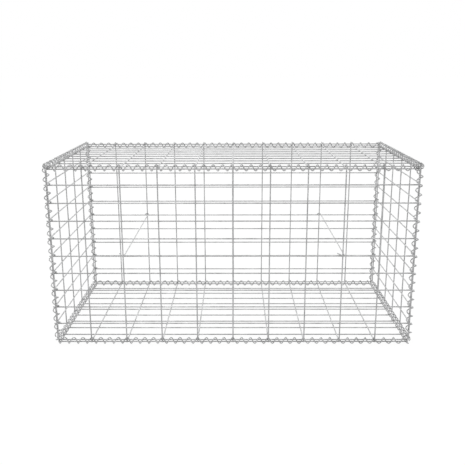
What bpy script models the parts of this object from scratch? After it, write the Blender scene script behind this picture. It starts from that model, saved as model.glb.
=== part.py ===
# Welded mesh gabion basket, 100 x 50 x 50 cm, galvanised steel wire.
# Six welded mesh panels are laced together along all twelve edges by wire spirals,
# and two cross ties hold the front and the back panel together at mid height.
# X runs along the length, Y from the front to the back, Z up. Metres.
import math

import bpy
from mathutils import Vector

# Sizes of the panels, from edge wire to edge wire
PANEL_LENGTH = 1.000
PANEL_DEPTH = 0.500
PANEL_HEIGHT = 0.500

# Mesh
LONG_CELLS = 10
SIDE_CELLS = 5
SHORT_CELLS = 10
EDGE_CELL = 0.0944
MESH_WIRE = 0.0035
WELD_SINK = 0.0005
TIP_LONG = 0.0095
TIP_TALL = 0.0070
TIP_SIDE = 0.0045

# Spirals
COIL_WIRE = 0.0032
COIL_OUTER = 0.0196
COIL_PITCH = 0.0254
COIL_END = 0.0045

# Cross ties
TIE_WIRE = 0.0032
TIE_CELLS_FROM_MIDDLE = 3
TIE_LOOP_PLAY = 0.0004
TIE_TAIL = 0.0196
TIE_TAIL_FLARE = 26.0

# How the panels sit against one another
CLEAR = 0.0003
SIDE_RISE = 0.0054
SIDE_OUT = 0.0010
FRONT_OUT = 0.0016
COIL_INSET = 0.0044
LONG_COIL_ANGLE = 56.5

# Facets, the corners of a faceted wire lie a little outside the round one
MESH_SIDES = 6
COIL_STEPS = 6
TIE_SIDES = 6
TIE_STEPS = 10
FACET_GROWTH = 1.05

# Derived sizes
WELD_STEP = MESH_WIRE - WELD_SINK
MIDDLE_CELL = (PANEL_LENGTH - 2 * EDGE_CELL) / (LONG_CELLS - 2)
SIDE_CELL = PANEL_DEPTH / SIDE_CELLS
DEPTH_CELL = PANEL_DEPTH / SHORT_CELLS
HEIGHT_CELL = PANEL_HEIGHT / SHORT_CELLS
MESH_RADIUS = MESH_WIRE / 2 * FACET_GROWTH
TIE_RADIUS = TIE_WIRE / 2 * FACET_GROWTH
COIL_FLAT = COIL_OUTER / 2
COIL_TIP = COIL_FLAT / math.cos(math.pi / COIL_STEPS)
COIL_BORE = (COIL_FLAT - COIL_WIRE) / math.cos(math.pi / COIL_STEPS)
COIL_HALF = COIL_WIRE / 2 * math.hypot(1.0, COIL_PITCH / (2 * math.pi * (COIL_FLAT - COIL_WIRE / 2)))
STACK = WELD_STEP + MESH_WIRE + CLEAR

# Heights, the front and back spirals of the base rest on the ground
LOW = COIL_FLAT
BASE_X_Z = LOW - STACK / 2
BASE_Y_Z = BASE_X_Z + WELD_STEP
FRONT_Z = LOW + STACK / 2
SIDE_Z = FRONT_Z + SIDE_RISE
HIGH = LOW + PANEL_HEIGHT
LID_X_Z = HIGH - STACK / 2
LID_Y_Z = LID_X_Z + WELD_STEP

# Places across the depth
FRONT_Y = PANEL_DEPTH / 2 + FRONT_OUT
FRONT_STRUT_Y = FRONT_Y + WELD_STEP
FRONT_COIL_Y = FRONT_STRUT_Y - COIL_INSET
SIDE_EDGE_Y = FRONT_Y - MESH_WIRE - CLEAR

# Places along the length
SIDE_X = PANEL_LENGTH / 2 + SIDE_OUT
SIDE_STRUT_X = SIDE_X + WELD_STEP
SIDE_COIL_X = PANEL_LENGTH / 2 + SIDE_OUT / 2
CORNER_X = (PANEL_LENGTH / 2 + SIDE_STRUT_X) / 2
CORNER_Y = (FRONT_STRUT_Y + SIDE_EDGE_Y) / 2

X_AXIS = Vector((1.0, 0.0, 0.0))
Y_AXIS = Vector((0.0, 1.0, 0.0))
Z_AXIS = Vector((0.0, 0.0, 1.0))


def clear_scene():
    """Removes whatever the scene holds."""
    for thing in list(bpy.data.objects):
        bpy.data.objects.remove(thing, do_unlink=True)


def zinc(name, colour, roughness):
    """Galvanised steel."""
    material = bpy.data.materials.new(name)
    material.use_nodes = True
    surface = material.node_tree.nodes["Principled BSDF"]
    surface.inputs["Base Color"].default_value = (colour, colour, colour * 1.02, 1.0)
    surface.inputs["Roughness"].default_value = roughness
    surface.inputs["Metallic"].default_value = 0.85
    material.diffuse_color = (colour, colour, colour * 1.02, 1.0)
    return material


def add_object(name, points, faces, material):
    """Makes one object; faces with up to four corners are shaded smooth, cut ends stay flat."""
    mesh = bpy.data.meshes.new(name)
    mesh.from_pydata([tuple(p) for p in points], [], faces)
    for polygon in mesh.polygons:
        polygon.use_smooth = len(polygon.vertices) <= 4
    mesh.materials.append(material)
    mesh.validate()
    mesh.update()
    thing = bpy.data.objects.new(name, mesh)
    bpy.context.scene.collection.objects.link(thing)
    return thing


def ring_points(centre, first, second, radius, sides):
    """Corners of a regular polygon, the first one towards `first`."""
    corners = []
    for k in range(sides):
        turn = 2 * math.pi * k / sides
        corners.append(centre + radius * (math.cos(turn) * first + math.sin(turn) * second))
    return corners


def loft(points, faces, rings, sides):
    """Joins equal rings of points into one closed tube with flat ends."""
    base = len(points)
    for ring in rings:
        points.extend(ring)
    last = len(rings) - 1
    for j in range(last):
        for k in range(sides):
            n = (k + 1) % sides
            a = base + j * sides
            b = a + sides
            faces.append((a + k, a + n, b + n, b + k))
    faces.append(tuple(base + k for k in reversed(range(sides))))
    faces.append(tuple(base + last * sides + k for k in range(sides)))


def add_rods(name, along, towards, starts, length, material):
    """One object with a straight wire from each start; a corner points to the weld side."""
    points = []
    faces = []
    across = along.cross(towards)
    for start in starts:
        end = start + length * along
        near = ring_points(start, towards, across, MESH_RADIUS, MESH_SIDES)
        far = ring_points(end, towards, across, MESH_RADIUS, MESH_SIDES)
        loft(points, faces, (near, far), MESH_SIDES)
    return add_object(name, points, faces, material)


def weld(thing, partner):
    """Joins the crossing wires of a panel into one body."""
    partner.hide_render = True
    partner.display_type = 'WIRE'
    joint = thing.modifiers.new("welds", 'BOOLEAN')
    joint.operation = 'UNION'
    joint.solver = 'EXACT'
    joint.object = partner


def even_places(cells, cell):
    """Places of the wires across `cells` equal cells, centred."""
    return [(k - cells / 2) * cell for k in range(cells + 1)]


def long_places():
    """Places of the wires along the length, the two outer cells are narrower."""
    inner = even_places(LONG_CELLS - 2, MIDDLE_CELL)
    return [-PANEL_LENGTH / 2] + inner + [PANEL_LENGTH / 2]


def wall_panel(name, y_side, material):
    """Front or back panel; its upright wires are on the outer face."""
    outward = y_side * Y_AXIS
    y = y_side * FRONT_Y
    left = -PANEL_LENGTH / 2 - TIP_LONG
    rows = [Vector((left, y, FRONT_Z + k * HEIGHT_CELL)) for k in range(SHORT_CELLS + 1)]
    bars = add_rods(name, X_AXIS, outward, rows, PANEL_LENGTH + 2 * TIP_LONG, material)
    strut_y = y_side * FRONT_STRUT_Y
    feet = [Vector((x, strut_y, FRONT_Z - TIP_TALL)) for x in long_places()]
    struts = add_rods(name + "_uprights", Z_AXIS, -outward, feet, PANEL_HEIGHT + 2 * TIP_TALL, material)
    weld(bars, struts)


def side_panel(name, x_side, material):
    """Left or right panel; its upright wires are on the outer face."""
    outward = x_side * X_AXIS
    x = x_side * SIDE_X
    front = -SIDE_EDGE_Y - TIP_SIDE
    rows = [Vector((x, front, SIDE_Z + k * HEIGHT_CELL)) for k in range(SHORT_CELLS + 1)]
    bars = add_rods(name, Y_AXIS, outward, rows, 2 * (SIDE_EDGE_Y + TIP_SIDE), material)
    strut_x = x_side * SIDE_STRUT_X
    places = [-SIDE_EDGE_Y] + even_places(SIDE_CELLS, SIDE_CELL)[1:-1] + [SIDE_EDGE_Y]
    feet = [Vector((strut_x, y, SIDE_Z - TIP_SIDE)) for y in places]
    struts = add_rods(name + "_uprights", Z_AXIS, -outward, feet, PANEL_HEIGHT + 2 * TIP_SIDE, material)
    weld(bars, struts)


def flat_panel(name, z_long, left_out, material):
    """Base or lid; the short wires lie on top and all ends are flush with the edge wires."""
    flush = MESH_WIRE / 2
    left = -PANEL_LENGTH / 2 - flush
    front = -PANEL_DEPTH / 2 - flush
    rows = even_places(SHORT_CELLS, DEPTH_CELL)
    rows = [y for k, y in enumerate(rows) if k not in left_out]
    starts = [Vector((left, y, z_long)) for y in rows]
    bars = add_rods(name, X_AXIS, Z_AXIS, starts, PANEL_LENGTH + 2 * flush, material)
    starts = [Vector((x, front, z_long + WELD_STEP)) for x in long_places()]
    ribs = add_rods(name + "_ribs", Y_AXIS, -Z_AXIS, starts, PANEL_DEPTH + 2 * flush, material)
    weld(bars, ribs)


def turns_between(length, share):
    """Whole turns plus the wanted share of a turn that come nearest to the pitch."""
    return max(1, round(length / COIL_PITCH - share)) + share


def coil(name, origin, along, first, stations, material):
    """Left-handed wire spiral; a station is a place along the axis and the angle there."""
    second = along.cross(first)
    step = 360.0 / COIL_STEPS
    highest = stations[0][1]
    lowest = stations[-1][1]
    angle = math.floor(highest / step + 1e-6) * step
    rings = []
    leg = 0
    while angle >= lowest - 1e-6:
        while leg < len(stations) - 2 and angle < stations[leg + 1][1]:
            leg += 1
        near = stations[leg]
        far = stations[leg + 1]
        place = near[0] + (far[0] - near[0]) * (near[1] - angle) / (near[1] - far[1])
        turn = math.radians(angle)
        out = math.cos(turn) * first + math.sin(turn) * second
        middle = origin + place * along
        rings.append((
            middle + COIL_TIP * out - COIL_HALF * along,
            middle + COIL_TIP * out + COIL_HALF * along,
            middle + COIL_BORE * out,
        ))
        angle -= step
    points = [p for ring in rings for p in ring]
    faces = [(0, 2, 1)]
    for j in range(len(rings) - 1):
        a = 3 * j
        b = a + 3
        faces.append((a, a + 1, b + 1, b))
        faces.append((a + 1, a + 2, b + 2))
        faces.append((a + 1, b + 2, b + 1))
        faces.append((a + 2, a, b))
        faces.append((a + 2, b, b + 2))
    end = 3 * (len(rings) - 1)
    faces.append((end, end + 1, end + 2))
    return add_object(name, points, faces, material)


def long_stations(inner_angle, end_angle):
    """Stations of a spiral along X: the same angle at each inner cross wire."""
    inner = even_places(LONG_CELLS - 2, MIDDLE_CELL)
    half = PANEL_LENGTH / 2
    rise = (end_angle - inner_angle) % 360.0 / 360.0
    left_turns = turns_between(EDGE_CELL, rise)
    right_turns = turns_between(EDGE_CELL, 1.0 - rise)
    cell_turns = max(1, round(MIDDLE_CELL / COIL_PITCH))
    stations = [(-half - COIL_END, inner_angle + 360.0 * left_turns * (EDGE_CELL + COIL_END) / EDGE_CELL)]
    for k, x in enumerate(inner):
        stations.append((x, inner_angle - 360.0 * cell_turns * k))
    last = stations[-1][1]
    stations.append((half + COIL_END, last - 360.0 * right_turns * (EDGE_CELL + COIL_END) / EDGE_CELL))
    return stations


def even_stations(cell, offset, reach_low, reach_high, angle):
    """Stations of a spiral that is at `angle` at each cross wire, from reach_low to reach_high."""
    turns = max(1, round(cell / COIL_PITCH))
    rate = 360.0 * turns / cell
    return [
        (reach_low, angle + rate * (offset - reach_low)),
        (reach_high, angle + rate * (offset - reach_high)),
    ]


def long_coils(material):
    """Spirals along the front and back edges of the base and of the lid."""
    for label, y_side, inner, low_end, high_end in (
        ("front", -1.0, LONG_COIL_ANGLE, 285.0, 180.0),
        ("back", 1.0, 180.0 - LONG_COIL_ANGLE, 255.0, 0.0),
    ):
        origin = Vector((0.0, y_side * FRONT_COIL_Y, LOW))
        coil("spiral_base_" + label, origin, X_AXIS, Y_AXIS, long_stations(inner, low_end), material)
        origin = Vector((0.0, y_side * FRONT_COIL_Y, HIGH))
        coil("spiral_lid_" + label, origin, X_AXIS, Y_AXIS, long_stations(inner, high_end), material)


def side_coils(material):
    """Spirals along the left and right edges of the base and of the lid."""
    reach = FRONT_COIL_Y - COIL_TIP - CLEAR - COIL_HALF
    base_z = (BASE_Y_Z + SIDE_Z) / 2
    lid_z = (LID_Y_Z + SIDE_Z + PANEL_HEIGHT) / 2
    for label, x_side, angle in (("left", -1.0, 60.0), ("right", 1.0, 300.0)):
        stations = even_stations(DEPTH_CELL, 0.0, -reach, reach, angle)
        for place, z in (("base", base_z), ("lid", lid_z)):
            origin = Vector((x_side * SIDE_COIL_X, 0.0, z))
            coil("spiral_" + place + "_" + label, origin, Y_AXIS, Z_AXIS, stations, material)


def corner_coils(material):
    """Spirals up the four corners, between the spirals of the base and of the lid."""
    low = LOW + COIL_FLAT + CLEAR + COIL_HALF
    high = HIGH - COIL_FLAT - CLEAR - COIL_HALF
    for name, x_side, y_side, angle in (
        ("front_left", -1.0, -1.0, 60.0),
        ("front_right", 1.0, -1.0, 309.0),
        ("back_left", -1.0, 1.0, 64.0),
        ("back_right", 1.0, 1.0, 54.0),
    ):
        origin = Vector((x_side * CORNER_X, y_side * CORNER_Y, 0.0))
        stations = even_stations(HEIGHT_CELL, FRONT_Z, low, high, angle)
        coil("spiral_" + name, origin, Z_AXIS, X_AXIS, stations, material)


def tie_path():
    """Centre line of a cross tie seen from above, from the tail at the front to the tail at the back."""
    loop = MESH_RADIUS + TIE_RADIUS + TIE_LOOP_PLAY
    flare = math.radians(TIE_TAIL_FLARE)
    arc_end = -math.pi + flare
    hook = []
    for k in range(TIE_STEPS + 1):
        turn = arc_end * k / TIE_STEPS
        hook.append(Vector((loop * math.cos(turn), loop * math.sin(turn) - FRONT_STRUT_Y, 0.0)))
    tail = hook[-1] + TIE_TAIL * Vector((-math.sin(flare), math.cos(flare), 0.0))
    front = [tail] + hook[::-1]
    back = [Vector((p.x, -p.y, 0.0)) for p in reversed(front)]
    return front + back


def cross_tie(name, x, material):
    """Straight rod with a hook round an upright wire of the front and of the back panel."""
    middle_row = FRONT_Z + SHORT_CELLS // 2 * HEIGHT_CELL
    z = middle_row + MESH_RADIUS + TIE_RADIUS + CLEAR
    path = [p + Vector((x, 0.0, z)) for p in tie_path()]
    rings = []
    for j, point in enumerate(path):
        before = (point - path[j - 1]).normalized() if j else None
        after = (path[j + 1] - point).normalized() if j < len(path) - 1 else None
        ahead = ((before or after) + (after or before)).normalized()
        stretch = 1.0 / max(0.5, ahead.dot(after or before))
        across = Z_AXIS.cross(ahead)
        ring = []
        for k in range(TIE_SIDES):
            turn = 2 * math.pi * k / TIE_SIDES
            side = TIE_RADIUS * math.cos(turn) * stretch * across
            ring.append(point + side + TIE_RADIUS * math.sin(turn) * Z_AXIS)
        rings.append(ring)
    points = []
    faces = []
    loft(points, faces, rings, TIE_SIDES)
    return add_object(name, points, faces, material)


def build():
    clear_scene()
    mesh_zinc = zinc("galvanised_mesh", 0.60, 0.42)
    coil_zinc = zinc("galvanised_spiral", 0.64, 0.38)
    tie_zinc = zinc("galvanised_tie", 0.62, 0.40)
    wall_panel("front_panel", -1.0, mesh_zinc)
    wall_panel("back_panel", 1.0, mesh_zinc)
    side_panel("left_panel", -1.0, mesh_zinc)
    side_panel("right_panel", 1.0, mesh_zinc)
    flat_panel("base_panel", BASE_X_Z, (), mesh_zinc)
    flat_panel("lid_panel", LID_X_Z, (1,), mesh_zinc)
    long_coils(coil_zinc)
    side_coils(coil_zinc)
    corner_coils(coil_zinc)
    tie_x = TIE_CELLS_FROM_MIDDLE * MIDDLE_CELL
    cross_tie("tie_left", -tie_x, tie_zinc)
    cross_tie("tie_right", tie_x, tie_zinc)


build()
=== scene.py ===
# Gabion basket of welded wire mesh: round wires, welds, spirals and cross ties. Metres.
# X runs along the length, Y from the front to the back, Z up.
import math

import bpy
from mathutils import Matrix, Vector


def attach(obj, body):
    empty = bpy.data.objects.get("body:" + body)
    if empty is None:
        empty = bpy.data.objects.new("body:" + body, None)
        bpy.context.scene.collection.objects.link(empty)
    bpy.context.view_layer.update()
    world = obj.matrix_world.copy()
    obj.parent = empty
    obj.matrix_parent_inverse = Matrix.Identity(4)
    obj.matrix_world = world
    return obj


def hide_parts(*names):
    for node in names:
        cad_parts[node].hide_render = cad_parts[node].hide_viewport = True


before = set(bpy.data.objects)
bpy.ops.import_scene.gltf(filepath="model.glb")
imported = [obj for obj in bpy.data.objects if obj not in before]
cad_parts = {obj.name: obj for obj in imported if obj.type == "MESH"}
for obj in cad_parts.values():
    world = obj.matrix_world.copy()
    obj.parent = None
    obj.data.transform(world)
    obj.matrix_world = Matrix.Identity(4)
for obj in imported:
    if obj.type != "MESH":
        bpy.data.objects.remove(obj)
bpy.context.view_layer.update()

# Sizes of the panels and their mesh
PANEL_LENGTH = 1.000
PANEL_DEPTH = 0.500
PANEL_HEIGHT = 0.500
LONG_CELLS = 10
SIDE_CELLS = 5
SHORT_CELLS = 10
EDGE_CELL = 0.0944
MESH_WIRE = 0.0035
WELD_SINK = 0.0005
TIP_LONG = 0.0095
TIP_TALL = 0.0070
TIP_SIDE = 0.0045

# Rows of the base and the lid that have no long wire, counted from the front
BASE_LEFT_OUT = ()
LID_LEFT_OUT = (1,)

# Spirals and ties
COIL_WIRE = 0.0032
COIL_OUTER = 0.0196
COIL_PITCH = 0.0254
COIL_END = 0.0045
TIE_WIRE = 0.0032
TIE_CELLS_FROM_MIDDLE = 3
TIE_LOOP_PLAY = 0.0004
TIE_TAIL = 0.0196
TIE_BACK_TAIL = 0.0070
TIE_TAIL_FLARE = 26.0

# How the panels sit against one another
CLEAR = 0.0003
SIDE_RISE = 0.0054
SIDE_OUT = 0.0010
FRONT_OUT = 0.0016
COIL_INSET = 0.0044

# Facets of the solids: steps in a turn of a spiral, and how far a wire's corners lie outside
COIL_STEPS = 6
FACET_GROWTH = 1.05

# Derived sizes
WELD_STEP = MESH_WIRE - WELD_SINK
MIDDLE_CELL = (PANEL_LENGTH - 2 * EDGE_CELL) / (LONG_CELLS - 2)
SIDE_CELL = PANEL_DEPTH / SIDE_CELLS
DEPTH_CELL = PANEL_DEPTH / SHORT_CELLS
HEIGHT_CELL = PANEL_HEIGHT / SHORT_CELLS
COIL_FLAT = COIL_OUTER / 2
COIL_TIP = COIL_FLAT / math.cos(math.pi / COIL_STEPS)
COIL_MIDDLE = COIL_FLAT - COIL_WIRE / 2
COIL_HALF = COIL_WIRE / 2 * math.hypot(1.0, COIL_PITCH / (2 * math.pi * COIL_MIDDLE))
STACK = WELD_STEP + MESH_WIRE + CLEAR
LOW = COIL_FLAT
BASE_X_Z = LOW - STACK / 2
BASE_Y_Z = BASE_X_Z + WELD_STEP
FRONT_Z = LOW + STACK / 2
SIDE_Z = FRONT_Z + SIDE_RISE
HIGH = LOW + PANEL_HEIGHT
LID_X_Z = HIGH - STACK / 2
LID_Y_Z = LID_X_Z + WELD_STEP
FRONT_Y = PANEL_DEPTH / 2 + FRONT_OUT
FRONT_STRUT_Y = FRONT_Y + WELD_STEP
FRONT_COIL_Y = FRONT_STRUT_Y - COIL_INSET
SIDE_EDGE_Y = FRONT_Y - MESH_WIRE - CLEAR
SIDE_X = PANEL_LENGTH / 2 + SIDE_OUT
SIDE_STRUT_X = SIDE_X + WELD_STEP
SIDE_COIL_X = PANEL_LENGTH / 2 + SIDE_OUT / 2
SIDE_BASE_Z = (BASE_Y_Z + SIDE_Z) / 2
SIDE_LID_Z = (LID_Y_Z + SIDE_Z + PANEL_HEIGHT) / 2
CORNER_X = (PANEL_LENGTH / 2 + SIDE_STRUT_X) / 2
CORNER_Y = (FRONT_STRUT_Y + SIDE_EDGE_Y) / 2
TIE_X = TIE_CELLS_FROM_MIDDLE * MIDDLE_CELL
TIE_BESIDE = (MESH_WIRE + TIE_WIRE) / 2 * FACET_GROWTH

# Fineness of the round wires
MESH_SIDES = 12
COIL_SIDES = 10
COIL_SEGMENTS = 24
TIE_SIDES = 14
TIE_STEPS = 28
CUT_CHAMFER = 0.0004

# Weld nuggets, with levels as shares of their depth and spread
NUGGET_SPREAD = 0.0021
NUGGET_DEPTH = 0.0009
NUGGET_SIDES = 10
NUGGET_LEVELS = ((-1.0, 0.25), (-0.62, 0.78), (0.0, 1.0), (0.62, 0.78), (1.0, 0.25))

# Long spirals: side, its sign, the angle at the uprights, and each one's edge, height and end
# angle. The turns are timed to pass between the wires that cross them.
LONG_COIL_ANGLE = 56.5
LONG_COILS = (
    ("front", -1.0, LONG_COIL_ANGLE, (("base", LOW, 285.0), ("lid", HIGH, 180.0))),
    ("back", 1.0, 180.0 - LONG_COIL_ANGLE, (("base", LOW, 255.0), ("lid", HIGH, 0.0))),
)

# Side spirals: name, sign of the side, height, angle at mid depth, the place from which the last
# turns are free of cross wires, and legs of (place, pitch) that lead on into the front corner
BASE_FREE_FROM = -0.206
LID_FREE_FROM = -0.160
SIDE_COILS = (
    ("base_left", -1.0, SIDE_BASE_Z, 60.0, BASE_FREE_FROM, ((-0.228, 0.0245), (-0.250, 0.025))),
    ("base_right", 1.0, SIDE_BASE_Z, 300.0, BASE_FREE_FROM, ((-0.228, 0.022), (-0.249, 0.016))),
    ("lid_left", -1.0, SIDE_LID_Z, 60.0, LID_FREE_FROM, ((-0.232, 0.0275), (-0.2535, 0.028))),
    ("lid_right", 1.0, SIDE_LID_Z, 300.0, LID_FREE_FROM, ((-0.225, 0.024), (-0.258, 0.025))),
)

# Corner spirals: name, signs of the two sides, angle at the lowest long wire, and legs that lead
# on from the place where the top turns are free of cross wires
CORNER_FREE_FROM = 0.4722
CORNER_COILS = (
    ("front_left", -1.0, -1.0, 60.0, ((0.507, 0.025),)),
    ("front_right", 1.0, -1.0, 309.0, ((0.509, 0.025),)),
    ("back_left", -1.0, 1.0, 64.0, ()),
    ("back_right", 1.0, 1.0, 54.0, ()),
)

# Zinc: noises as (scale, detail, roughness), spans as (low in, high in, low out, high out)
CLOUD_NOISE = (38.0, 4.0, 0.55)
SPECK_NOISE = (420.0, 3.0, 0.6)
MARKS_NOISE = (1500.0, 2.0, 0.5)
SPANGLE_SCALE = 260.0
CLOUD_TONE = (0.30, 0.70, 0.0, 0.55)
SPECK_TONE = (0.30, 0.70, -0.08, 0.22)
SPANGLE_TONE = (0.0, 1.0, -0.05, 0.25)
MIDDLE_TONE = 0.55
CLOUD_DULL = (0.35, 0.65)
SPECK_DULL = (0.30, 0.70, -0.05, 0.05)
ZINC_TINT = (0.995, 1.0, 1.006)
ZINC_METALLIC = 0.82
RELIEF_STRENGTH = 0.25
RELIEF_DEPTH = 0.0001

# Floor
WHITE = (1.0, 1.0, 1.0)
FLOOR_HALF = 40.0
FLOOR_DROP = 0.0002
FLOOR_COLOUR = (0.05, 0.05, 0.05)
FLOOR_GLOW = 0.95
FLOOR_ROUGHNESS = 0.9

# Room: heights go from 0 straight down to 1 straight up, and places from front to back by Y
ROOM_WHITE = 1.0
FRONT_GREY = (0.06, 0.06, 0.06)
GREY_BEGINS = (0.59, 0.63)
GREY_ENDS = (0.90, 0.97)
BACK_BEGINS = (-0.35, 0.25)
BACK_GLOW = 0.8
GLOW_BEGINS = (0.56, 0.63)

# Lamps
LIGHT_AIM = (0.0, 0.0, 0.25)
LIGHT_SIZE = 2.0
KEY_PLACE = (-1.8, -2.4, 3.0)
KEY_POWER = 45.0
FILL_PLACE = (2.6, -1.6, 2.2)
FILL_POWER = 20.0

# The photograph's camera, fitted to its wires: metres, degrees and pixels
CAMERA_PLACE = (0.0059, -1.9368, 0.7734)
CAMERA_PITCH = 14.71
CAMERA_YAW = -0.23
CAMERA_ROLL = -0.11
FOCAL_PIXELS = 634.5
FRAME_PIXELS = 465.0
SENSOR_WIDTH = 36.0
CLIP_END = 200.0

X_AXIS = Vector((1.0, 0.0, 0.0))
Y_AXIS = Vector((0.0, 1.0, 0.0))
Z_AXIS = Vector((0.0, 0.0, 1.0))


# Materials

class Nodes:
    """Short calls for the nodes of a material or of the world."""

    def __init__(self, owner):
        self.tree = owner.node_tree

    def add(self, kind, **values):
        node = self.tree.nodes.new(kind)
        for name, value in values.items():
            setattr(node, name, value)
        return node

    def link(self, out, into):
        self.tree.links.new(out, into)

    def noise(self, where, scale, detail, rough):
        node = self.add("ShaderNodeTexNoise")
        node.inputs["Scale"].default_value = scale
        node.inputs["Detail"].default_value = detail
        node.inputs["Roughness"].default_value = rough
        self.link(where, node.inputs["Vector"])
        return node.outputs["Fac"]

    def span(self, value, low_in, high_in, low_out, high_out):
        node = self.add("ShaderNodeMapRange")
        for name, number in (
            ("From Min", low_in),
            ("From Max", high_in),
            ("To Min", low_out),
            ("To Max", high_out),
        ):
            node.inputs[name].default_value = number
        self.link(value, node.inputs["Value"])
        return node.outputs["Result"]

    def sum(self, a, b):
        node = self.add("ShaderNodeMath", operation='ADD')
        self.link(a, node.inputs[0])
        self.link(b, node.inputs[1])
        return node.outputs["Value"]

    def ramp(self, value, stops):
        """Colour band through rising (place, colour) stops."""
        node = self.add("ShaderNodeValToRGB")
        band = node.color_ramp
        for k, (place, colour) in enumerate(stops):
            stop = band.elements[k] if k < 2 else band.elements.new(place)
            stop.position = place
            stop.color = (*colour, 1.0)
        self.link(value, node.inputs["Fac"])
        return node.outputs["Color"]


def zinc(name, dark, light, smooth, rough, drawn):
    """Hot-dip galvanised wire: mottled grey zinc, faint spangle, drawing marks, dull patches."""
    material = bpy.data.materials.new(name)
    material.use_nodes = True
    nodes = Nodes(material)
    surface = material.node_tree.nodes["Principled BSDF"]
    where = nodes.add("ShaderNodeTexCoord").outputs["Object"]
    cloud = nodes.noise(where, *CLOUD_NOISE)
    speck = nodes.noise(where, *SPECK_NOISE)
    marks = nodes.noise(where, *MARKS_NOISE)
    spangle = nodes.add("ShaderNodeTexVoronoi", feature='F1')
    spangle.inputs["Scale"].default_value = SPANGLE_SCALE
    nodes.link(where, spangle.inputs["Vector"])
    grain = nodes.add("ShaderNodeSeparateColor")
    nodes.link(spangle.outputs["Color"], grain.inputs["Color"])

    fine_tone = nodes.sum(
        nodes.span(speck, *SPECK_TONE),
        nodes.span(grain.outputs["Red"], *SPANGLE_TONE),
    )
    tone = nodes.sum(nodes.span(cloud, *CLOUD_TONE), fine_tone)
    middle = (1.0 - MIDDLE_TONE) * dark + MIDDLE_TONE * light
    colour = nodes.ramp(tone, [
        (place, tuple(grey * part for part in ZINC_TINT))
        for place, grey in ((0.0, dark), (0.5, middle), (1.0, light))
    ])
    nodes.link(colour, surface.inputs["Base Color"])

    dull = nodes.sum(
        nodes.span(cloud, *CLOUD_DULL, rough, smooth),
        nodes.span(speck, *SPECK_DULL),
    )
    nodes.link(dull, surface.inputs["Roughness"])
    surface.inputs["Metallic"].default_value = ZINC_METALLIC

    bump = nodes.add("ShaderNodeBump")
    bump.inputs["Strength"].default_value = RELIEF_STRENGTH
    bump.inputs["Distance"].default_value = RELIEF_DEPTH
    relief = nodes.sum(speck, nodes.span(marks, 0.0, 1.0, 0.0, drawn))
    nodes.link(relief, bump.inputs["Height"])
    nodes.link(bump.outputs["Normal"], surface.inputs["Normal"])
    return material


# Wires

class Wires:
    """Points and faces of one piece."""

    def __init__(self):
        self.points = []
        self.faces = []

    def loft(self, rings):
        """Closed tube through equal rings, with a flat cap at each end."""
        sides = len(rings[0])
        base = len(self.points)
        for corners in rings:
            self.points.extend(corners)
        for j in range(len(rings) - 1):
            for k in range(sides):
                n = (k + 1) % sides
                a = base + j * sides
                b = a + sides
                self.faces.append((a + k, a + n, b + n, b + k))
        last = base + (len(rings) - 1) * sides
        self.faces.append(tuple(base + k for k in reversed(range(sides))))
        self.faces.append(tuple(last + k for k in range(sides)))

    def make(self, name, node, material):
        """One object in a node's place; round sides are shaded smooth, cut ends stay flat."""
        mesh = bpy.data.meshes.new(name)
        mesh.from_pydata([tuple(p) for p in self.points], [], self.faces)
        for polygon in mesh.polygons:
            polygon.use_smooth = len(polygon.vertices) <= 4
        mesh.materials.append(material)
        mesh.update()
        piece = bpy.data.objects.new(name, mesh)
        bpy.context.scene.collection.objects.link(piece)
        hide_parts(node)
        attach(piece, "root")


def ring(centre, first, second, radius, sides):
    """Corners of a round section."""
    corners = []
    for k in range(sides):
        turn = 2 * math.pi * k / sides
        corners.append(centre + radius * (math.cos(turn) * first + math.sin(turn) * second))
    return corners


def rod(wires, start, along, length):
    """Straight mesh wire with slightly broken cut edges."""
    first = along.orthogonal().normalized()
    second = along.cross(first)
    radius = MESH_WIRE / 2
    rings = []
    for place, size in (
        (0.0, radius - CUT_CHAMFER),
        (CUT_CHAMFER, radius),
        (length - CUT_CHAMFER, radius),
        (length, radius - CUT_CHAMFER),
    ):
        rings.append(ring(start + place * along, first, second, size, MESH_SIDES))
    wires.loft(rings)


def nugget(wires, centre, first, second, depth_axis):
    """Metal squeezed out round a weld: a low pillow between the two wires."""
    rings = []
    for level, share in NUGGET_LEVELS:
        middle = centre + level * NUGGET_DEPTH * depth_axis
        rings.append(ring(middle, first, second, NUGGET_SPREAD * share, NUGGET_SIDES))
    wires.loft(rings)


# Panels

def even_places(cells, cell):
    """Places of evenly spread wires about the middle."""
    return [(k - cells / 2) * cell for k in range(cells + 1)]


def long_places():
    """Places along the length of the uprights and ribs; the two edge cells are narrower."""
    inner = even_places(LONG_CELLS - 2, MIDDLE_CELL)
    return [-PANEL_LENGTH / 2] + inner + [PANEL_LENGTH / 2]


def grid(label, bars, struts, out, material):
    """Welded panel of bars and struts that cross, each a wire (start, along, length).

    out points from the bars to the struts.
    """
    wires = Wires()
    for start, along, length in bars + struts:
        rod(wires, start, along, length)
    bar_along = bars[0][1]
    across = out.cross(bar_along)
    for bar_start, *_ in bars:
        for strut_start, *_ in struts:
            reach = (strut_start - bar_start).dot(bar_along)
            crossing = bar_start + reach * bar_along + WELD_STEP / 2 * out
            nugget(wires, crossing, bar_along, across, out)
    wires.make(label + "_mesh", label + "_panel", material)


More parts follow.
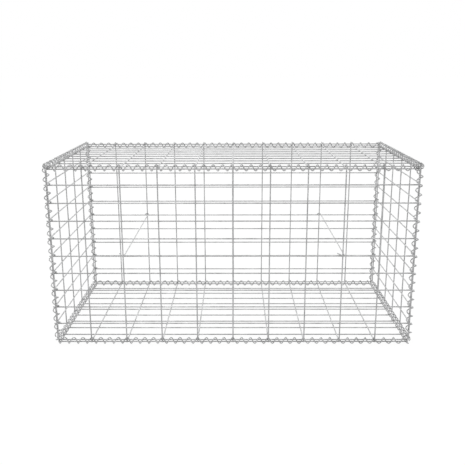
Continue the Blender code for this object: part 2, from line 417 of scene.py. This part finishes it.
def wall_mesh(label, y_side, material):
    """Front or back panel."""
    y = y_side * FRONT_Y
    left = -PANEL_LENGTH / 2 - TIP_LONG
    length = PANEL_LENGTH + 2 * TIP_LONG
    heights = [FRONT_Z + k * HEIGHT_CELL for k in range(SHORT_CELLS + 1)]
    bars = [(Vector((left, y, z)), X_AXIS, length) for z in heights]
    strut_y = y_side * FRONT_STRUT_Y
    foot = FRONT_Z - TIP_TALL
    tall = PANEL_HEIGHT + 2 * TIP_TALL
    struts = [(Vector((x, strut_y, foot)), Z_AXIS, tall) for x in long_places()]
    grid(label, bars, struts, y_side * Y_AXIS, material)


def side_mesh(label, x_side, material):
    """Left or right panel, its edge uprights inside the front and back panels."""
    x = x_side * SIDE_X
    front = -SIDE_EDGE_Y - TIP_SIDE
    length = 2 * (SIDE_EDGE_Y + TIP_SIDE)
    heights = [SIDE_Z + k * HEIGHT_CELL for k in range(SHORT_CELLS + 1)]
    bars = [(Vector((x, front, z)), Y_AXIS, length) for z in heights]
    strut_x = x_side * SIDE_STRUT_X
    foot = SIDE_Z - TIP_SIDE
    tall = PANEL_HEIGHT + 2 * TIP_SIDE
    places = [-SIDE_EDGE_Y] + even_places(SIDE_CELLS, SIDE_CELL)[1:-1] + [SIDE_EDGE_Y]
    struts = [(Vector((strut_x, y, foot)), Z_AXIS, tall) for y in places]
    grid(label, bars, struts, x_side * X_AXIS, material)


def flat_mesh(label, z_long, left_out, material):
    """Base or lid, with its ribs on top of its long wires."""
    flush = MESH_WIRE / 2
    left = -PANEL_LENGTH / 2 - flush
    front = -PANEL_DEPTH / 2 - flush
    length = PANEL_LENGTH + 2 * flush
    depth = PANEL_DEPTH + 2 * flush
    places = even_places(SHORT_CELLS, DEPTH_CELL)
    rows = [y for k, y in enumerate(places) if k not in left_out]
    bars = [(Vector((left, y, z_long)), X_AXIS, length) for y in rows]
    ribs = [(Vector((x, front, z_long + WELD_STEP)), Y_AXIS, depth) for x in long_places()]
    grid(label, bars, ribs, Z_AXIS, material)


# Spirals, each through stations of (place, angle), with the angle falling along the way

def turns_between(length, share):
    """Turns over a length that end on this share of a turn, near the usual pitch."""
    return max(1, round(length / COIL_PITCH - share)) + share


def place_at(near, far, angle):
    """Place where a spiral between two stations has turned to an angle."""
    return near[0] + (far[0] - near[0]) * (near[1] - angle) / (near[1] - far[1])


def whole_steps(stations):
    """Both ends cut at a whole step of the solid's turns."""
    step = 360.0 / COIL_STEPS
    rounding = 1e-6
    top = math.floor(stations[0][1] / step + rounding) * step
    bottom = math.ceil(stations[-1][1] / step - rounding) * step
    first = (place_at(stations[0], stations[1], top), top)
    last = (place_at(stations[-2], stations[-1], bottom), bottom)
    return [first] + stations[1:-1] + [last]


def carried_on(stations, start, legs):
    """An even spiral kept as far as start, then led on past its end by legs of (place, pitch)."""
    near, far = stations
    angle = near[1] + (far[1] - near[1]) * (start - near[0]) / (far[0] - near[0])
    added = [(start, angle)]
    for place, pitch in legs:
        angle -= 360.0 * (place - added[-1][0]) / pitch
        added.append((place, angle))
    if added[-1][0] < start:
        return added[::-1] + [far]
    return [near] + added


def long_stations(upright_angle, end_angle):
    """Whole turns in each middle cell, and whole turns but for a share in the edge cells."""
    half = PANEL_LENGTH / 2
    reach = EDGE_CELL + COIL_END
    rise = (end_angle - upright_angle) % 360.0 / 360.0
    left_turns = turns_between(EDGE_CELL, rise)
    right_turns = turns_between(EDGE_CELL, 1.0 - rise)
    cell_turns = max(1, round(MIDDLE_CELL / COIL_PITCH))
    stations = [(-half - COIL_END, upright_angle + 360.0 * left_turns * reach / EDGE_CELL)]
    for k, x in enumerate(even_places(LONG_CELLS - 2, MIDDLE_CELL)):
        stations.append((x, upright_angle - 360.0 * cell_turns * k))
    last = stations[-1][1]
    stations.append((half + COIL_END, last - 360.0 * right_turns * reach / EDGE_CELL))
    return stations


def even_stations(cell, offset, reach_low, reach_high, angle):
    """Whole turns in each cell all the way, with this angle at the offset."""
    rate = 360.0 * max(1, round(cell / COIL_PITCH)) / cell
    return [
        (reach_low, angle + rate * (offset - reach_low)),
        (reach_high, angle + rate * (offset - reach_high)),
    ]


def coil(label, origin, along, first, stations, material):
    """Left-handed round wire spiral."""
    second = along.cross(first)
    top = stations[0][1]
    bottom = stations[-1][1]
    count = round((top - bottom) * COIL_SEGMENTS / 360.0)
    path = []
    leg = 0
    for k in range(count + 1):
        angle = top + (bottom - top) * k / count
        while leg < len(stations) - 2 and angle < stations[leg + 1][1]:
            leg += 1
        place = place_at(stations[leg], stations[leg + 1], angle)
        turn = math.radians(angle)
        out = math.cos(turn) * first + math.sin(turn) * second
        path.append((origin + place * along + COIL_MIDDLE * out, out))
    rings = []
    for j, (point, out) in enumerate(path):
        before = path[max(0, j - 1)][0]
        after = path[min(len(path) - 1, j + 1)][0]
        ahead = (after - before).normalized()
        if j in (0, len(path) - 1):
            ahead = (ahead - ahead.dot(out) * out).normalized()
        side = ahead.cross(out).normalized()
        rings.append(ring(point, out, side, COIL_WIRE / 2, COIL_SIDES))
    wires = Wires()
    wires.loft(rings)
    wires.make(label + "_spiral", "spiral_" + label, material)


def long_coils(material):
    """Spirals along the front and back edges of the base and the lid."""
    for side, y_side, upright_angle, edges in LONG_COILS:
        for edge, z, end_angle in edges:
            origin = Vector((0.0, y_side * FRONT_COIL_Y, z))
            stations = whole_steps(long_stations(upright_angle, end_angle))
            coil(edge + "_" + side, origin, X_AXIS, Y_AXIS, stations, material)


def side_coils(material):
    """Spirals along the left and right edges of the base and the lid."""
    reach = FRONT_COIL_Y - COIL_TIP - CLEAR - COIL_HALF
    for label, x_side, z, angle, free_from, legs in SIDE_COILS:
        stations = whole_steps(even_stations(DEPTH_CELL, 0.0, -reach, reach, angle))
        stations = carried_on(stations, free_from, legs)
        origin = Vector((x_side * SIDE_COIL_X, 0.0, z))
        coil(label, origin, Y_AXIS, Z_AXIS, stations, material)


def corner_coils(material):
    """Spirals up the four corners."""
    low = LOW + COIL_FLAT + CLEAR + COIL_HALF
    high = HIGH - COIL_FLAT - CLEAR - COIL_HALF
    for label, x_side, y_side, angle, legs in CORNER_COILS:
        stations = whole_steps(even_stations(HEIGHT_CELL, FRONT_Z, low, high, angle))
        if legs:
            stations = carried_on(stations, CORNER_FREE_FROM, legs)
        origin = Vector((x_side * CORNER_X, y_side * CORNER_Y, 0.0))
        coil(label, origin, Z_AXIS, X_AXIS, stations, material)


# Cross ties

def tie_hook(tail):
    """Centre line of a front hook seen from above, from its tail's tip to its straight side."""
    loop = TIE_BESIDE + TIE_LOOP_PLAY
    flare = math.radians(TIE_TAIL_FLARE)
    hook = []
    for k in range(TIE_STEPS + 1):
        turn = (flare - math.pi) * k / TIE_STEPS
        hook.append(Vector((loop * math.cos(turn), loop * math.sin(turn) - FRONT_STRUT_Y, 0.0)))
    tip = hook[-1] + tail * Vector((-math.sin(flare), math.cos(flare), 0.0))
    return [tip] + hook[::-1]


def tie_path():
    """Centre line of a tie, hooked round an upright at each end; its back tail is shorter."""
    front = tie_hook(TIE_TAIL)
    back = [Vector((p.x, -p.y, 0.0)) for p in reversed(tie_hook(TIE_BACK_TAIL))]
    return front + back


def cross_tie(label, x, material):
    """Tie from the front panel to the back one, just above their middle long wires."""
    z = FRONT_Z + SHORT_CELLS // 2 * HEIGHT_CELL + TIE_BESIDE + CLEAR
    path = [p + Vector((x, 0.0, z)) for p in tie_path()]
    rings = []
    for j, point in enumerate(path):
        before = path[max(0, j - 1)]
        after = path[min(len(path) - 1, j + 1)]
        ahead = (after - before).normalized()
        if 0 < j < len(path) - 1:
            ahead = ((point - before).normalized() + (after - point).normalized()).normalized()
        across = Z_AXIS.cross(ahead)
        rings.append(ring(point, across, Z_AXIS, TIE_WIRE / 2, TIE_SIDES))
    wires = Wires()
    wires.loft(rings)
    wires.make(label + "_cross_tie", "tie_" + label, material)


# Stage: a pale floor, soft light and the photograph's camera

def stage_floor():
    """Wide white floor that glows a little, so that it stays even."""
    half = FLOOR_HALF
    mesh = bpy.data.meshes.new("floor")
    corners = [(-half, -half, 0.0), (half, -half, 0.0), (half, half, 0.0), (-half, half, 0.0)]
    mesh.from_pydata(corners, [], [(0, 1, 2, 3)])
    material = bpy.data.materials.new("floor_white")
    material.use_nodes = True
    surface = material.node_tree.nodes["Principled BSDF"]
    surface.inputs["Base Color"].default_value = (*FLOOR_COLOUR, 1.0)
    surface.inputs["Emission Color"].default_value = (*WHITE, 1.0)
    surface.inputs["Emission Strength"].default_value = FLOOR_GLOW
    surface.inputs["Roughness"].default_value = FLOOR_ROUGHNESS
    surface.inputs["Specular IOR Level"].default_value = 0.0
    mesh.materials.append(material)
    floor = bpy.data.objects.new("floor", mesh)
    floor.location.z = -FLOOR_DROP
    bpy.context.scene.collection.objects.link(floor)


def area_light(name, place, power):
    data = bpy.data.lights.new(name, 'AREA')
    data.shape = 'SQUARE'
    data.size = LIGHT_SIZE
    data.energy = power
    light = bpy.data.objects.new(name, data)
    light.location = place
    light.rotation_mode = 'QUATERNION'
    light.rotation_quaternion = (Vector(LIGHT_AIM) - Vector(place)).to_track_quat('-Z', 'Y')
    bpy.context.scene.collection.objects.link(light)


def light_scene():
    """White room, with a dark wall on the camera's side and a glow behind and above the basket.

    The wires reflect both, so that their round form shows against the white.
    """
    world = bpy.data.worlds.new("studio")
    world.use_nodes = True
    nodes = Nodes(world)
    background = world.node_tree.nodes["Background"]
    where = nodes.add("ShaderNodeTexCoord").outputs["Generated"]
    split = nodes.add("ShaderNodeSeparateXYZ")
    nodes.link(where, split.inputs["Vector"])
    height = nodes.span(split.outputs["Z"], -1.0, 1.0, 0.0, 1.0)
    back = nodes.span(split.outputs["Y"], *BACK_BEGINS, 0.0, 1.0)

    front = nodes.ramp(height, (
        (0.0, WHITE),
        (GREY_BEGINS[0], WHITE),
        (GREY_BEGINS[1], FRONT_GREY),
        (GREY_ENDS[0], FRONT_GREY),
        (GREY_ENDS[1], WHITE),
    ))
    wall = nodes.add("ShaderNodeMix", data_type='RGBA')
    nodes.link(back, wall.inputs["Factor"])
    nodes.link(front, wall.inputs["A"])
    wall.inputs["B"].default_value = (*WHITE, 1.0)
    nodes.link(wall.outputs["Result"], background.inputs["Color"])

    glow = nodes.span(height, *GLOW_BEGINS, 0.0, BACK_GLOW)
    strength = nodes.add("ShaderNodeMath", operation='MULTIPLY_ADD')
    nodes.link(glow, strength.inputs[0])
    nodes.link(back, strength.inputs[1])
    strength.inputs[2].default_value = ROOM_WHITE
    nodes.link(strength.outputs["Value"], background.inputs["Strength"])

    bpy.context.scene.world = world
    area_light("key", KEY_PLACE, KEY_POWER)
    area_light("fill", FILL_PLACE, FILL_POWER)
    bpy.context.scene.view_settings.view_transform = 'Standard'


def camera():
    """The photograph's view."""
    pitch = math.radians(CAMERA_PITCH)
    yaw = math.radians(CAMERA_YAW)
    roll = math.radians(CAMERA_ROLL)
    ahead = Vector((
        math.sin(yaw) * math.cos(pitch),
        math.cos(yaw) * math.cos(pitch),
        -math.sin(pitch),
    ))
    level = Vector((math.cos(yaw), -math.sin(yaw), 0.0))
    up = level.cross(ahead)
    right = math.cos(roll) * level + math.sin(roll) * up
    up = -math.sin(roll) * level + math.cos(roll) * up
    data = bpy.data.cameras.new("camera")
    data.sensor_width = SENSOR_WIDTH
    data.lens = SENSOR_WIDTH * FOCAL_PIXELS / FRAME_PIXELS
    data.clip_end = CLIP_END
    view = bpy.data.objects.new("camera", data)
    turn = Matrix((right, up, -ahead)).transposed()
    view.matrix_world = Matrix.Translation(CAMERA_PLACE) @ turn.to_4x4()
    bpy.context.scene.collection.objects.link(view)
    bpy.context.scene.camera = view


# Building the basket
mesh_zinc = zinc("mesh_zinc", dark=0.32, light=0.60, smooth=0.40, rough=0.56, drawn=0.5)
coil_zinc = zinc("spiral_zinc", dark=0.33, light=0.61, smooth=0.38, rough=0.54, drawn=0.4)
tie_zinc = zinc("tie_zinc", dark=0.33, light=0.61, smooth=0.38, rough=0.54, drawn=0.5)
wall_mesh("front", -1.0, mesh_zinc)
wall_mesh("back", 1.0, mesh_zinc)
side_mesh("left", -1.0, mesh_zinc)
side_mesh("right", 1.0, mesh_zinc)
flat_mesh("base", BASE_X_Z, BASE_LEFT_OUT, mesh_zinc)
flat_mesh("lid", LID_X_Z, LID_LEFT_OUT, mesh_zinc)
long_coils(coil_zinc)
side_coils(coil_zinc)
corner_coils(coil_zinc)
cross_tie("left", -TIE_X, tie_zinc)
cross_tie("right", TIE_X, tie_zinc)

stage_floor()
light_scene()
camera()
